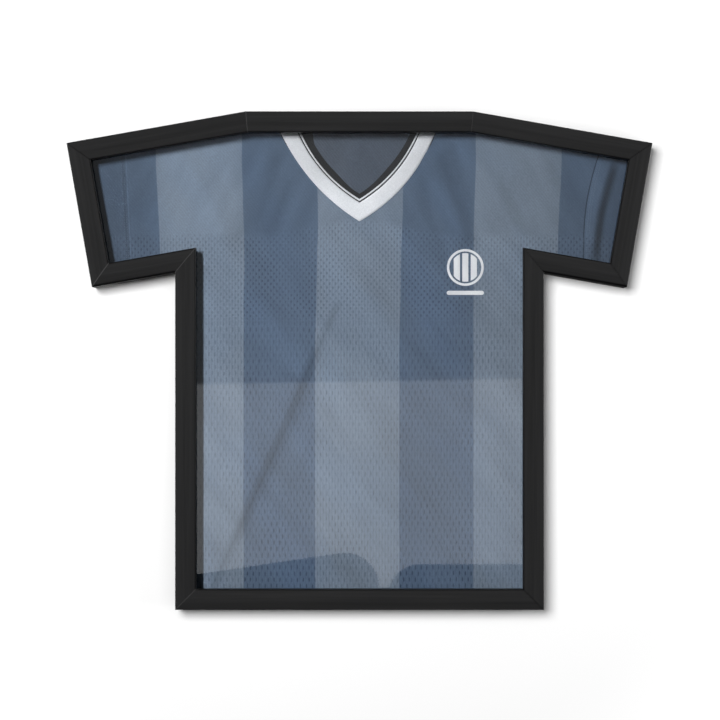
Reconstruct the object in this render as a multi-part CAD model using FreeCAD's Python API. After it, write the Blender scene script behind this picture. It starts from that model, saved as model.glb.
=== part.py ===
import FreeCAD, Part

import math
import os

from FreeCAD import Vector

# A wall-hung display frame in the outline of a short-sleeved shirt. Ten mitred rails hold a clear
# pane, spacers, a jersey wrapped on a board, and a back panel kept in by turn buttons.
# Millimetres. +X is the viewer's right, +Z is up, and +Y runs from the viewer to the wall.
# The origin is midway between the two keyhole entries, on the wall plane.

# outline, measured on the outer edges
OVERALL_WIDTH = 790.0
OVERALL_HEIGHT = 672.0
NECK_LENGTH = 306.6
BODY_WIDTH = 497.0
CUFF_LENGTH = 197.3
SHOULDER_SLOPE = 10.0
TOP = 13.5  # from the keyhole entries up to the neck rail's outer edge

# rail section: distances inward from the outer edge, and depths from the wall plane
RAIL_WIDTH = 28.0
RIDGE_INSET = 12.5
RIM_WIDTH = 5.0
RABBET_INSET = 20.0
DEPTH = 32.0
EDGE_DEPTH = 30.4
LIP_BACK = 23.0
LEDGE = 4.0
OUTER_EDGE_RADIUS = 1.0
INNER_EDGE_RADIUS = 0.8
RIDGE_RADIUS = 18.0
MITRE_GAP = 0.04  # each rail stops this short of the mitre plane

# what lies in the rabbet, from the pane back to the panel
PANE_INSET = 20.4
PANE_BACK = 21.0
SPACER_INSET = 20.3
SPACER_INNER = 26.0
SPACER_BACK = 14.0
JERSEY_INSET = 20.6
JERSEY_FRONT = 13.7
JERSEY_LAYER_BACK = 11.9
JERSEY_REAR = 7.1
NECK_RECESS = 0.9
SIDE_CLOTH = 1.2
FLAP_WIDTH = 45.0
BOARD_FRONT = 11.85
BOARD_BACK = 7.95
BOARD_GAP = 0.1
PANEL_INSET = 20.6
PANEL_FRONT = 6.8
PANEL_BACK = 4.3

# collar and badge on the jersey's front
NECK_LINE = 26.4  # the cloth above this inset is behind the neck spacer
COLLAR_HALF = 103.0
COLLAR_APEX = -132.6
COLLAR_SAG = 12.2
OPENING_HALF = 76.8
OPENING_APEX = -101.4
OPENING_SAG = 9.9
COLLAR_FRONT = 14.5
BADGE_X = 143.7
BADGE_Z = -196.0
BADGE_RADIUS = 25.0
BADGE_FRONT = 14.1

# turn buttons and their screws
BUTTON_INSET = 12.5
BUTTON_PIVOT_RADIUS = 6.0
BUTTON_TIP_RADIUS = 4.0
BUTTON_REACH = 14.0  # pivot to the centre of the tip
BUTTON_THICKNESS = 1.2
BUTTON_LIFT = 0.05  # clearance over the ledge
TAB_INSET = 1.2
TAB_THICKNESS = 1.2
TAB_WIDTH = 5.0
TAB_HEIGHT = 1.7
SHANK_RADIUS = 2.0
PIVOT_CLEARANCE = 0.08
HEAD_RADIUS = 3.6
HEAD_HEIGHT = 1.6
HEAD_GAP = 0.15
HEAD_EDGE = 0.9
SCREW_DEPTH = 13.0
HOLE_CLEARANCE = 0.04
CROSS_LENGTH = 3.8
CROSS_WIDTH = 0.8
CROSS_DEPTH = 0.9
STOP_RADIUS = 1.5
STOP_HEIGHT = 1.5
STOP_ALONG = 5.0
STOP_ASIDE = 7.0

# v-nails across the mitres
NAIL_INSET = 11.5
NAIL_LEG = 5.5
NAIL_THICKNESS = 0.8
NAIL_HEIGHT = 9.0

# keyhole hangers on the neck rail
HANGER_X = 110.0
PLATE_LENGTH = 38.0
PLATE_HEIGHT = 15.0
PLATE_THICKNESS = 1.2
PLATE_CORNER = 3.0
PLATE_TOP = 9.5
PLATE_GAP = 0.2
BLOCK_LENGTH = 44.0
BLOCK_INSET = 3.4
BLOCK_DEPTH = 12.0
ENTRY_RADIUS = 4.0
SLOT_RADIUS = 2.0
SLOT_RISE = 4.5
POCKET_HALF = 6.0
POCKET_TOP = 8.6
POCKET_BOTTOM = -4.3
POCKET_DEPTH = 10.0
HANGER_SCREW_X = 13.5
HANGER_SCREW_Z = 2.0
HANGER_SHANK = 1.5
HANGER_HEAD = 3.0
HANGER_SCREW_DEPTH = 11.0

WALL = Vector(0, 1, 0)
SIDES = [
    "neck",
    "shoulder_right",
    "cuff_right",
    "underarm_right",
    "side_right",
    "hem",
    "side_left",
    "underarm_left",
    "cuff_left",
    "shoulder_left",
]
# turn button name, its side, its place along that side, and which way it points when open
TURN_BUTTONS = [
    ("neck_left", "neck", 0.36, 1),
    ("neck_right", "neck", 0.64, -1),
    ("shoulder_right", "shoulder_right", 0.5, -1),
    ("cuff_right", "cuff_right", 0.5, -1),
    ("side_right_upper", "side_right", 0.25, -1),
    ("side_right_lower", "side_right", 0.75, -1),
    ("hem_right", "hem", 0.25, -1),
    ("hem_left", "hem", 0.75, 1),
    ("side_left_lower", "side_left", 0.25, 1),
    ("side_left_upper", "side_left", 0.75, 1),
    ("cuff_left", "cuff_left", 0.5, 1),
    ("shoulder_left", "shoulder_left", 0.5, 1),
]


def outline_corners():
    """The outline's corners, clockwise from the neck's left end as seen from the front."""
    slope = math.radians(SHOULDER_SLOPE)
    tip_x = OVERALL_WIDTH / 2
    tip_z = TOP - (OVERALL_WIDTH - NECK_LENGTH) / 2 * math.tan(slope)
    cuff_x = tip_x - CUFF_LENGTH * math.sin(slope)
    cuff_z = tip_z - CUFF_LENGTH * math.cos(slope)
    body_x = BODY_WIDTH / 2
    armpit_z = cuff_z + (cuff_x - body_x) * math.tan(slope)
    right = [
        (NECK_LENGTH / 2, TOP),
        (tip_x, tip_z),
        (cuff_x, cuff_z),
        (body_x, armpit_z),
        (body_x, TOP - OVERALL_HEIGHT),
    ]
    left = [(-x, z) for x, z in reversed(right)]
    return [Vector(x, 0, z) for x, z in left[-1:] + right + left[:-1]]


CORNERS = outline_corners()


def along(side):
    """Unit vector along a side, clockwise."""
    i = SIDES.index(side)
    step = CORNERS[(i + 1) % len(CORNERS)] - CORNERS[i]
    return step.normalize()


def inward(side):
    """Unit vector from a side towards the inside of the outline."""
    d = along(side)
    return Vector(d.z, 0, -d.x)


def side_length(side):
    i = SIDES.index(side)
    return (CORNERS[(i + 1) % len(CORNERS)] - CORNERS[i]).Length


def place(side, distance, inset, depth=0.0):
    """A point at a distance along a side, an inset from its outer edge and a depth from the wall."""
    start = CORNERS[SIDES.index(side)]
    return start + along(side) * distance + inward(side) * inset - WALL * depth


def inset_corner(i, inset):
    """The outline's corner i once both of its sides are moved inwards."""
    before, after = SIDES[i - 1], SIDES[i % len(SIDES)]
    shift = inward(before) + inward(after)
    return CORNERS[i % len(SIDES)] + shift * (inset / (1 + inward(before).dot(inward(after))))


def inset_outline(inset):
    return [inset_corner(i, inset) for i in range(len(SIDES))]


def prism(points, front, back):
    """A solid with the outline of points, between two depths from the wall."""
    base = [Vector(p.x, -front, p.z) for p in points]
    return Part.Face(Part.makePolygon(base + base[:1])).extrude(WALL * (front - back))


def rod(centre, radius, front, back):
    """A cylinder square to the wall, between two depths from it."""
    base = Vector(centre.x, -front, centre.z)
    return Part.makeCylinder(radius, front - back, base, WALL)


def block(x0, x1, z0, z1, front, back):
    return prism([Vector(x0, 0, z0), Vector(x1, 0, z0), Vector(x1, 0, z1), Vector(x0, 0, z1)], front, back)


def rounded_wire(corners):
    """A closed wire through (point, radius) corners, with a tangent arc at each radius above zero."""
    edges, first, last = [], None, None
    for i, (p, radius) in enumerate(corners):
        to_before = (corners[i - 1][0] - p).normalize()
        to_after = (corners[(i + 1) % len(corners)][0] - p).normalize()
        half = to_before.getAngle(to_after) / 2
        reach = radius / math.tan(half)
        start, end = p + to_before * reach, p + to_after * reach
        if last is not None:
            edges.append(Part.LineSegment(last, start).toShape())
        if radius > 0:
            middle = (to_before + to_after).normalize()
            crown = p + middle * (radius / math.sin(half) - radius)
            edges.append(Part.Arc(start, crown, end).toShape())
        first = start if first is None else first
        last = end
    edges.append(Part.LineSegment(last, first).toShape())
    return Part.Wire(edges)


def mitred_bar(side, section, outer, inner):
    """A section of (inset, depth, radius) corners run along a side and mitred to its neighbours."""
    margin = 2 * RAIL_WIDTH
    corners = [(place(side, -margin, s, d), r) for s, d, r in section]
    bar = Part.Face(rounded_wire(corners)).extrude(along(side) * (side_length(side) + 2 * margin))
    i = SIDES.index(side)
    shorten = along(side) * MITRE_GAP
    limits = [
        inset_corner(i, outer - 1) + shorten,
        inset_corner(i + 1, outer - 1) - shorten,
        inset_corner(i + 1, inner + 1) - shorten,
        inset_corner(i, inner + 1) + shorten,
    ]
    return bar.common(prism(limits, DEPTH + 1, -1))


def rail_blank(side):
    section = [
        (0, 0, 0),
        (0, EDGE_DEPTH, OUTER_EDGE_RADIUS),
        (RIDGE_INSET, DEPTH, RIDGE_RADIUS),
        (RAIL_WIDTH, EDGE_DEPTH, INNER_EDGE_RADIUS),
        (RAIL_WIDTH, LIP_BACK, 0),
        (RABBET_INSET, LIP_BACK, 0),
        (RABBET_INSET, LEDGE, 0),
        (RIM_WIDTH, LEDGE, 0),
        (RIM_WIDTH, 0, 0),
    ]
    return mitred_bar(side, section, 0, RAIL_WIDTH)


def button_pivot(button):
    _, side, share, _ = button
    return place(side, side_length(side) * share, BUTTON_INSET)


def button_open_direction(button):
    _, side, _, sense = button
    return along(side) * sense


def button_stop(button):
    """The boss on the ledge that the closed button's arm comes to rest against."""
    _, side, _, _ = button
    centre = button_pivot(button) + inward(side) * STOP_ALONG - button_open_direction(button) * STOP_ASIDE
    return rod(centre, STOP_RADIUS, LEDGE + 0.5, LEDGE - STOP_HEIGHT)


def turn_button(button):
    """A stamped button, open: its arm lies along the rail, with a finger tab near the tip."""
    pivot = button_pivot(button)
    arm = button_open_direction(button)
    aside = WALL.cross(arm)
    lean = math.acos((BUTTON_PIVOT_RADIUS - BUTTON_TIP_RADIUS) / BUTTON_REACH)
    underside = LEDGE - BUTTON_LIFT

    def at(x, y):
        return pivot + arm * x + aside * y - WALL * underside

    def touch(centre, radius, sense):
        return at(centre + radius * math.cos(lean), sense * radius * math.sin(lean))

    near = [touch(0, BUTTON_PIVOT_RADIUS, s) for s in (1, -1)]
    far = [touch(BUTTON_REACH, BUTTON_TIP_RADIUS, s) for s in (1, -1)]
    outline = Part.Wire([
        Part.LineSegment(near[0], far[0]).toShape(),
        Part.Arc(far[0], at(BUTTON_REACH + BUTTON_TIP_RADIUS, 0), far[1]).toShape(),
        Part.LineSegment(far[1], near[1]).toShape(),
        Part.Arc(near[1], at(-BUTTON_PIVOT_RADIUS, 0), near[0]).toShape(),
    ])
    plate = Part.Face(outline).extrude(WALL * BUTTON_THICKNESS)
    tab_end = BUTTON_REACH + BUTTON_TIP_RADIUS - TAB_INSET
    half = TAB_WIDTH / 2
    tab_base = [at(tab_end - TAB_THICKNESS, -half), at(tab_end, -half), at(tab_end, half),
                at(tab_end - TAB_THICKNESS, half)]
    tab = Part.Face(Part.makePolygon(tab_base + tab_base[:1])).extrude(
        WALL * (BUTTON_THICKNESS + TAB_HEIGHT))
    hole = rod(pivot, SHANK_RADIUS + PIVOT_CLEARANCE, underside + 1, underside - BUTTON_THICKNESS - 1)
    return plate.fuse(tab).cut(hole).removeSplitter()


def cross_recess(centre, top):
    """The driver's cross, cut down from a screw head's top."""
    long, wide = CROSS_LENGTH / 2, CROSS_WIDTH / 2
    x, z = centre.x, centre.z
    upright = block(x - wide, x + wide, z - long, z + long, top + CROSS_DEPTH, top - 1)
    level = block(x - long, x + long, z - wide, z + wide, top + CROSS_DEPTH, top - 1)
    return upright.fuse(level)


def button_screw(button):
    pivot = button_pivot(button)
    seat = LEDGE - BUTTON_LIFT - BUTTON_THICKNESS - HEAD_GAP
    top = seat - HEAD_HEIGHT
    head = rod(pivot, HEAD_RADIUS, seat, top)
    crown = [e for e in head.Edges if len(e.Vertexes) == 1 and abs(e.CenterOfMass.y + top) < 1e-6]
    head = head.makeFillet(HEAD_EDGE, crown)
    shank = rod(pivot, SHANK_RADIUS, SCREW_DEPTH, seat)
    return head.fuse(shank).cut(cross_recess(pivot, top)).removeSplitter()


def v_nail(i):
    """The nail across corner i's mitre, flush with the ledge, its point towards the outer corner."""
    apex = inset_corner(i, NAIL_INSET)
    mitre = (inset_corner(i, RAIL_WIDTH) - CORNERS[i]).normalize()
    across = WALL.cross(mitre)
    half = NAIL_THICKNESS / 2
    points = [apex + mitre * half * math.sqrt(2), apex - mitre * half * math.sqrt(2)]
    legs = []
    for sense in (1, -1):
        leg = (mitre + across * sense).normalize()
        outside = (across * sense - mitre).normalize()
        end = apex + leg * NAIL_LEG
        legs.append((end + outside * half, end - outside * half))
    inner, outer = points
    shape = [outer, legs[0][0], legs[0][1], inner, legs[1][1], legs[1][0]]
    return prism(shape, LEDGE + NAIL_HEIGHT, LEDGE)


def hanger_centres():
    return [Vector(sense * HANGER_X, 0, 0) for sense in (-1, 1)]


def plate_blank(centre, grow, back):
    """The hanger plate's outline, enlarged all round by grow, from its seat to a depth from the wall."""
    half = PLATE_LENGTH / 2 + grow
    top, bottom = PLATE_TOP + grow, PLATE_TOP - PLATE_HEIGHT - grow
    spots = [(-half, bottom), (half, bottom), (half, top), (-half, top)]
    corners = [(centre + Vector(x, -PLATE_THICKNESS, z), PLATE_CORNER + grow) for x, z in spots]
    return Part.Face(rounded_wire(corners)).extrude(WALL * (PLATE_THICKNESS - back))


def hanger_screw_centres(centre):
    return [centre + Vector(sense * HANGER_SCREW_X, 0, HANGER_SCREW_Z) for sense in (-1, 1)]


def countersink(centre, grow):
    """A countersunk head's cone, flush with the wall plane, and enlarged by grow."""
    base = Vector(centre.x, -PLATE_THICKNESS, centre.z)
    return Part.makeCone(HANGER_SHANK + grow, HANGER_HEAD + grow, PLATE_THICKNESS, base, WALL)


def hanger_plate(centre):
    plate = plate_blank(centre, 0, 0)
    slot = block(centre.x - SLOT_RADIUS, centre.x + SLOT_RADIUS, 0, SLOT_RISE, PLATE_THICKNESS + 1, -1)
    slot_end = rod(centre + Vector(0, 0, SLOT_RISE), SLOT_RADIUS, PLATE_THICKNESS + 1, -1)
    entry = rod(centre, ENTRY_RADIUS, PLATE_THICKNESS + 1, -1)
    plate = plate.cut(entry.fuse([slot, slot_end]))
    for screw in hanger_screw_centres(centre):
        plate = plate.cut(countersink(screw, HOLE_CLEARANCE))
    return plate.removeSplitter()


def hanger_screw(centre):
    shank = rod(centre, HANGER_SHANK, HANGER_SCREW_DEPTH, PLATE_THICKNESS)
    screw = countersink(centre, 0).fuse(shank)
    cross = cross_recess(centre, 0)
    return screw.cut(cross).removeSplitter()


def block_blank(centre):
    half = BLOCK_LENGTH / 2
    low, high = TOP - RABBET_INSET, TOP - BLOCK_INSET
    return block(centre.x - half, centre.x + half, low, high, BLOCK_DEPTH, 0)


def hanger_block(centre):
    """The block let into the neck rail, with the plate's seat and the pocket behind the keyhole."""
    left, right = centre.x - POCKET_HALF, centre.x + POCKET_HALF
    pocket = block(left, right, POCKET_BOTTOM, POCKET_TOP, POCKET_DEPTH, -1)
    shape = block_blank(centre).cut(plate_blank(centre, PLATE_GAP, -1)).cut(pocket)
    for screw in hanger_screw_centres(centre):
        shape = shape.cut(rod(screw, HANGER_SHANK + HOLE_CLEARANCE, HANGER_SCREW_DEPTH, 0))
    return shape.removeSplitter()


def rail(side):
    """One rail with its stops, and the holes, slots and notches for what is let into it."""
    shape = rail_blank(side)
    if side == "neck":
        for centre in hanger_centres():
            shape = shape.cut(block_blank(centre))
    for button in TURN_BUTTONS:
        if button[1] == side:
            shape = shape.fuse(button_stop(button))
            hole = rod(button_pivot(button), SHANK_RADIUS + HOLE_CLEARANCE, SCREW_DEPTH, LEDGE - 1)
            shape = shape.cut(hole)
    i = SIDES.index(side)
    for corner in (i, (i + 1) % len(SIDES)):
        shape = shape.cut(v_nail(corner))
    return shape.removeSplitter()


def spacer(side):
    section = [
        (SPACER_INSET, PANE_BACK, 0),
        (SPACER_INNER, PANE_BACK, 0),
        (SPACER_INNER, SPACER_BACK, 0),
        (SPACER_INSET, SPACER_BACK, 0),
    ]
    return mitred_bar(side, section, SPACER_INSET, SPACER_INNER)


def neckline(half, apex, sag, front, back):
    """A V with bowed sides, from the neck line down to its apex, as a solid between two depths."""
    top = TOP - NECK_LINE
    left, right, low = Vector(-half, 0, top), Vector(half, 0, top), Vector(0, 0, apex)

    def bowed(a, b):
        middle = (a + b) / 2
        chord = (b - a).normalize()
        return Part.Arc(a, middle + Vector(-chord.z, 0, chord.x) * sag, b).toShape()

    wire = Part.Wire([bowed(right, low).reversed(), bowed(low, left).reversed(),
                      Part.LineSegment(left, right).toShape()])
    face = Part.Face(wire)
    face.translate(WALL * -front)
    return face.extrude(WALL * (front - back))


def jersey():
    """The cloth on the board: two layers in front, the sides, and flaps folded over the back."""
    outer, wrap = inset_outline(JERSEY_INSET), inset_outline(JERSEY_INSET + SIDE_CLOTH)
    window = inset_outline(JERSEY_INSET + FLAP_WIDTH)
    flap_front = BOARD_BACK - BOARD_GAP / 2
    cloth = prism(outer, JERSEY_FRONT, JERSEY_REAR)
    cloth = cloth.cut(prism(wrap, JERSEY_LAYER_BACK, flap_front))
    cloth = cloth.cut(prism(window, flap_front + 0.5, JERSEY_REAR - 1))
    opening = neckline(OPENING_HALF, OPENING_APEX, OPENING_SAG, JERSEY_FRONT + 1, JERSEY_FRONT - NECK_RECESS)
    return cloth.cut(opening).removeSplitter()


def collar():
    band = neckline(COLLAR_HALF, COLLAR_APEX, COLLAR_SAG, COLLAR_FRONT, JERSEY_FRONT)
    opening = neckline(OPENING_HALF, OPENING_APEX, OPENING_SAG, COLLAR_FRONT + 1, JERSEY_FRONT - 1)
    return band.cut(opening).removeSplitter()


def sub_parts():
    """Every node's name and shape. A node of like fasteners is a compound of separate solids."""
    for side in SIDES:
        yield "rail_" + side, rail(side)
        yield "spacer_" + side, spacer(side)
    yield "corner_v_nails", Part.Compound([v_nail(i) for i in range(len(SIDES))])
    yield "clear_pane", prism(inset_outline(PANE_INSET), LIP_BACK, PANE_BACK)
    board_inset = JERSEY_INSET + SIDE_CLOTH + BOARD_GAP
    yield "insert_board", prism(inset_outline(board_inset), BOARD_FRONT, BOARD_BACK)
    yield "jersey", jersey()
    yield "jersey_collar", collar()
    badge_centre = Vector(BADGE_X, 0, BADGE_Z)
    yield "chest_badge", rod(badge_centre, BADGE_RADIUS, BADGE_FRONT, JERSEY_FRONT)
    yield "back_panel", prism(inset_outline(PANEL_INSET), PANEL_FRONT, PANEL_BACK)
    for button in TURN_BUTTONS:
        yield "turn_button_" + button[0], turn_button(button)
    yield "turn_button_screws", Part.Compound([button_screw(b) for b in TURN_BUTTONS])
    for name, centre in zip(("left", "right"), hanger_centres()):
        yield "hanger_block_" + name, hanger_block(centre)
        yield "keyhole_plate_" + name, hanger_plate(centre)
    screws = [hanger_screw(s) for centre in hanger_centres() for s in hanger_screw_centres(centre)]
    yield "hanger_screws", Part.Compound(screws)


def main():
    os.makedirs("parts", exist_ok=True)
    for name, shape in sub_parts():
        if not shape.isValid() or shape.Volume <= 0:
            raise ValueError(name + " is not a valid solid")
        shape.exportStep("parts/" + name + ".step")
        print(name, len(shape.Solids), "solids", round(shape.Volume), "mm3")


main()
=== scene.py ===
import math

import bmesh
import bpy
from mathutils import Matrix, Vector, noise


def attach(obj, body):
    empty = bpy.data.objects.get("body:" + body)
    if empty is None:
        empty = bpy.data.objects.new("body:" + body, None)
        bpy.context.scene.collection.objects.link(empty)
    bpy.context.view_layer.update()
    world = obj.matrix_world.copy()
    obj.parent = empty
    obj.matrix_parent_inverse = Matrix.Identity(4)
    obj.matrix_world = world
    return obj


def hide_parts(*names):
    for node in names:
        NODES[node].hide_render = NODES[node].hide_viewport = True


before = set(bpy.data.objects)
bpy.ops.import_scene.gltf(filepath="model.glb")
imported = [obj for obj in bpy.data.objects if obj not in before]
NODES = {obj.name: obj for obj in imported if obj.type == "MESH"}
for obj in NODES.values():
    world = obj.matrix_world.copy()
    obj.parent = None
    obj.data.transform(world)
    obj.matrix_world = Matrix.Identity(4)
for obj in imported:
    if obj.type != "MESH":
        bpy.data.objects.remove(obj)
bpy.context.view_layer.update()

# the frame's outline in metres, as built
TOP = 0.0135
HALF_WIDTH = 0.395
HALF_NECK = 0.1533
HALF_BODY = 0.2485
HEIGHT = 0.672
CUFF = 0.1973
SLOPE = math.radians(10)
SIDES = ["neck", "shoulder_right", "cuff_right", "underarm_right", "side_right",
         "hem", "side_left", "underarm_left", "cuff_left", "shoulder_left"]
RAIL = 0.028

# the cloth's layout
CLOTH_INSET = 0.0212
CLOTH_Y = -0.0134
PRESSED_Y = -0.01375  # where the spacer holds the collar down
STRIPE_PITCH = 0.2127
STRIPE_CENTRE = -0.0031
LIGHT_HALF = 0.0572
STRIPE_BLUR = 0.0005
LOOP = 0.0013
TWILL = 0.0042
EYELET_X = 0.008
EYELET_Z = 0.017
CHEST_EYELET_Z = 0.0095  # rounder and closer together across the chest


def outline():
    """Corners (x, z) clockwise from the neck's left end, as seen from the front."""
    tip_z = TOP - (HALF_WIDTH - HALF_NECK) * math.tan(SLOPE)
    cuff = (HALF_WIDTH - CUFF * math.sin(SLOPE), tip_z - CUFF * math.cos(SLOPE))
    armpit = (HALF_BODY, cuff[1] + (cuff[0] - HALF_BODY) * math.tan(SLOPE))
    right = [(HALF_NECK, TOP), (HALF_WIDTH, tip_z), cuff, armpit, (HALF_BODY, TOP - HEIGHT)]
    left = [(-x, z) for x, z in reversed(right)]
    return [Vector(p) for p in left[-1:] + right + left[:-1]]


CORNERS = outline()


def along(i):
    return (CORNERS[(i + 1) % 10] - CORNERS[i % 10]).normalized()


def inward(i):
    d = along(i)
    return Vector((d.y, -d.x))


def inset(i, d):
    """Corner i of the outline moved inwards by d."""
    a, b = inward(i - 1), inward(i)
    return CORNERS[i % 10] + (a + b) * (d / (1 + a.dot(b)))


def smooth(lo, hi, v):
    t = min(max((v - lo) / (hi - lo), 0), 1)
    return t * t * (3 - 2 * t)


# ---------------------------------------------------------------- node helpers

class Graph:
    """A material's node tree, with short calls for the nodes used here."""

    def __init__(self, name):
        self.material = bpy.data.materials.new(name)
        self.material.use_nodes = True
        self.tree = self.material.node_tree
        self.shader = self.tree.nodes["Principled BSDF"]

    def add(self, kind, **settings):
        n = self.tree.nodes.new("ShaderNode" + kind)
        for key, value in settings.items():
            setattr(n, key, value)
        return n

    def put(self, socket, value):
        if isinstance(value, bpy.types.NodeSocket):
            self.tree.links.new(value, socket)
        elif value is not None:
            socket.default_value = value

    def math(self, operation, a, b=None, c=None):
        n = self.add("Math", operation=operation)
        for socket, value in zip(n.inputs, (a, b, c)):
            self.put(socket, value)
        return n.outputs[0]

    def place(self):
        return self.add("TexCoord").outputs["Object"]

    def split(self, vector):
        n = self.add("SeparateXYZ")
        self.put(n.inputs[0], vector)
        return n.outputs

    def mapped(self, vector, scale=(1, 1, 1), rotation=(0, 0, 0)):
        """The vector turned, then scaled, so that scale acts along the turned axes."""
        turn = self.add("Mapping")
        self.put(turn.inputs["Vector"], vector)
        turn.inputs["Rotation"].default_value = rotation
        stretch = self.add("Mapping")
        self.put(stretch.inputs["Vector"], turn.outputs[0])
        stretch.inputs["Scale"].default_value = scale
        return stretch.outputs[0]

    def noise(self, vector, scale, detail=3.0, roughness=0.5):
        n = self.add("TexNoise")
        self.put(n.inputs["Vector"], vector)
        n.inputs["Scale"].default_value = scale
        n.inputs["Detail"].default_value = detail
        n.inputs["Roughness"].default_value = roughness
        return n.outputs["Fac"]

    def range(self, value, lo, hi, to_lo=0.0, to_hi=1.0, kind="LINEAR"):
        n = self.add("MapRange", interpolation_type=kind)
        for socket, v in zip(n.inputs, (value, lo, hi, to_lo, to_hi)):
            self.put(socket, v)
        return n.outputs[0]

    def mix(self, factor, a, b, blend="MIX"):
        n = self.add("Mix", data_type="RGBA", blend_type=blend)
        self.put(n.inputs[0], factor)
        for socket, v in ((n.inputs[6], a), (n.inputs[7], b)):
            self.put(socket, (*v, 1) if isinstance(v, tuple) else v)
        return n.outputs[2]

    def bump(self, height, distance, strength=1.0):
        n = self.add("Bump")
        n.inputs["Strength"].default_value = strength
        n.inputs["Distance"].default_value = distance
        self.put(n.inputs["Height"], height)
        self.put(self.shader.inputs["Normal"], n.outputs[0])

    def set(self, **values):
        for key, value in values.items():
            self.put(self.shader.inputs[key.replace("_", " ")], value)

    def product(self, *factors):
        total = factors[0]
        for factor in factors[1:]:
            total = self.math("MULTIPLY", total, factor)
        return total

    def tint(self, colour, level):
        """The colour multiplied by a plain number."""
        grey = self.add("CombineXYZ")
        for socket in grey.inputs:
            self.put(socket, level)
        return self.mix(1.0, colour, grey.outputs[0], "MULTIPLY")

    def surface(self, shader):
        self.put(self.tree.nodes["Material Output"].inputs["Surface"], shader)

    def blend_surface(self, factor, first, second):
        """Makes the surface a mix of two shaders, all of the second one where factor is 1."""
        mixer = self.add("MixShader")
        for socket, value in zip(mixer.inputs, (factor, first, second)):
            self.put(socket, value)
        self.surface(mixer.outputs[0])


def dress(obj, material):
    obj.data.materials.clear()
    obj.data.materials.append(material)


def mottled(name, dark, light, scale, rough, metal=0.0, bump=0.00005, stretch=(1, 1, 1)):
    """A surface whose colour and roughness vary with noise, for plain plastics, boards and plated metal."""
    g = Graph(name)
    where = g.mapped(g.place(), stretch)
    fine = g.noise(where, scale, 5, 0.6)
    broad = g.noise(where, scale / 12, 2)
    blend = g.math("MULTIPLY_ADD", broad, 0.6, g.math("MULTIPLY", fine, 0.4))
    g.set(Base_Color=g.mix(g.range(blend, 0.3, 0.7), dark, light),
          Roughness=g.range(fine, 0.2, 0.8, rough[0], rough[1]), Metallic=metal)
    g.bump(fine, bump)
    return g.material


# ---------------------------------------------------------------- rails

# how the thin line at each mitre shows, corner by corner: a painted highlight on the cut's edge where
# positive, else a dark gap
MITRE_LINES = [0.7, 0.35, -0.8, -0.6, -0.6, -0.8, 0.6, 0.8, 1.0, -0.8]


def rail_foil(i):
    """Charcoal foil with streaks that run along rail i, painted shade along its inner rim (and along the
    outer edge of the underarm rails), and at each mitre a thin line, a painted highlight at some corners and
    a dark gap at the others.
    """
    g = Graph("rail_foil_" + SIDES[i])
    d = along(i)
    angle = math.atan2(d.y, d.x)
    where = g.place()
    x, _, z = g.split(where)

    def distance(corner, direction):
        reach = g.math("ADD", g.math("MULTIPLY", x, direction.x), g.math("MULTIPLY", z, direction.y))
        return g.math("SUBTRACT", reach, corner.dot(direction))

    streaks = g.noise(g.mapped(where, (7, 420, 420), (0, angle, 0)), 1.0, 4, 0.62)
    wide = g.noise(g.mapped(where, (2.5, 90, 90), (0, angle, 0)), 1.0, 2)
    speck = g.noise(where, 1600, 2)
    tone = g.math("ADD", g.math("MULTIPLY", streaks, 0.6), g.math("MULTIPLY", wide, 0.4))
    colour = g.mix(g.range(tone, 0.3, 0.7), (0.0085, 0.0085, 0.0088), (0.0165, 0.0165, 0.0168))
    depth = distance(CORNERS[i], inward(i))
    # painted shade: near black along the rail's inner rim, and on the underarm rails along the outer edge too
    rim_painted_shade = g.range(depth, RAIL - 0.0020, RAIL - 0.0011, 0, 0.9)
    if SIDES[i].startswith("underarm"):
        rim_painted_shade = g.math("MAXIMUM", rim_painted_shade, g.range(depth, 0.0021, 0.003, 0.95, 0))
    colour = g.mix(rim_painted_shade, colour, (0.0008, 0.0008, 0.001))
    for k in (i, (i + 1) % 10):
        mitre = (inset(k, 1) - CORNERS[k]).normalized()
        gap = g.math("ABSOLUTE", distance(CORNERS[k], Vector((mitre.y, -mitre.x))))
        # painted highlight on the mitre's edge where MITRE_LINES is positive, else a dark gap
        line = g.range(gap, 0.0002, 0.0007, abs(MITRE_LINES[k]), 0)
        colour = g.mix(line, colour, (0.042, 0.042, 0.043) if MITRE_LINES[k] > 0 else (0.002, 0.002, 0.002))
    g.set(Base_Color=colour, Roughness=g.range(tone, 0.3, 0.7, 0.5, 0.38), Specular_IOR_Level=0.42)
    g.bump(g.math("ADD", streaks, g.math("MULTIPLY", speck, 0.35)), 0.00006)
    return g.material


for i, side in enumerate(SIDES):
    rail = NODES["rail_" + side]
    dress(rail, rail_foil(i))
    edge = rail.modifiers.new("eased edges", "BEVEL")
    edge.width = 0.00035
    edge.segments = 2
    edge.limit_method = "ANGLE"
    edge.angle_limit = math.radians(50)

black = mottled("black_extrusion", (0.006, 0.006, 0.0062), (0.012, 0.012, 0.0125), 500, (0.5, 0.65))
plated = mottled("zinc_plate", (0.36, 0.36, 0.37), (0.6, 0.6, 0.6), 700, (0.28, 0.46), 1.0, 0.00003)
bright = mottled("screw_steel", (0.45, 0.45, 0.45), (0.68, 0.67, 0.65), 900, (0.24, 0.4), 1.0, 0.00003)
panel_board = mottled("hardboard", (0.2, 0.115, 0.058), (0.275, 0.165, 0.087), 1500, (0.5, 0.72),
                      bump=0.00012, stretch=(1, 1, 1.6))
mount_board = mottled("mount_board", (0.5, 0.5, 0.49), (0.66, 0.66, 0.65), 600, (0.75, 0.9))
wood = mottled("planed_wood", (0.25, 0.14, 0.07), (0.5, 0.34, 0.2), 160, (0.5, 0.7),
               bump=0.0001, stretch=(0.12, 1, 1))
for side in SIDES:
    dress(NODES["spacer_" + side], black)
for name, node in NODES.items():
    if name.startswith("turn_button_") and name != "turn_button_screws":
        dress(node, plated)
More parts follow.
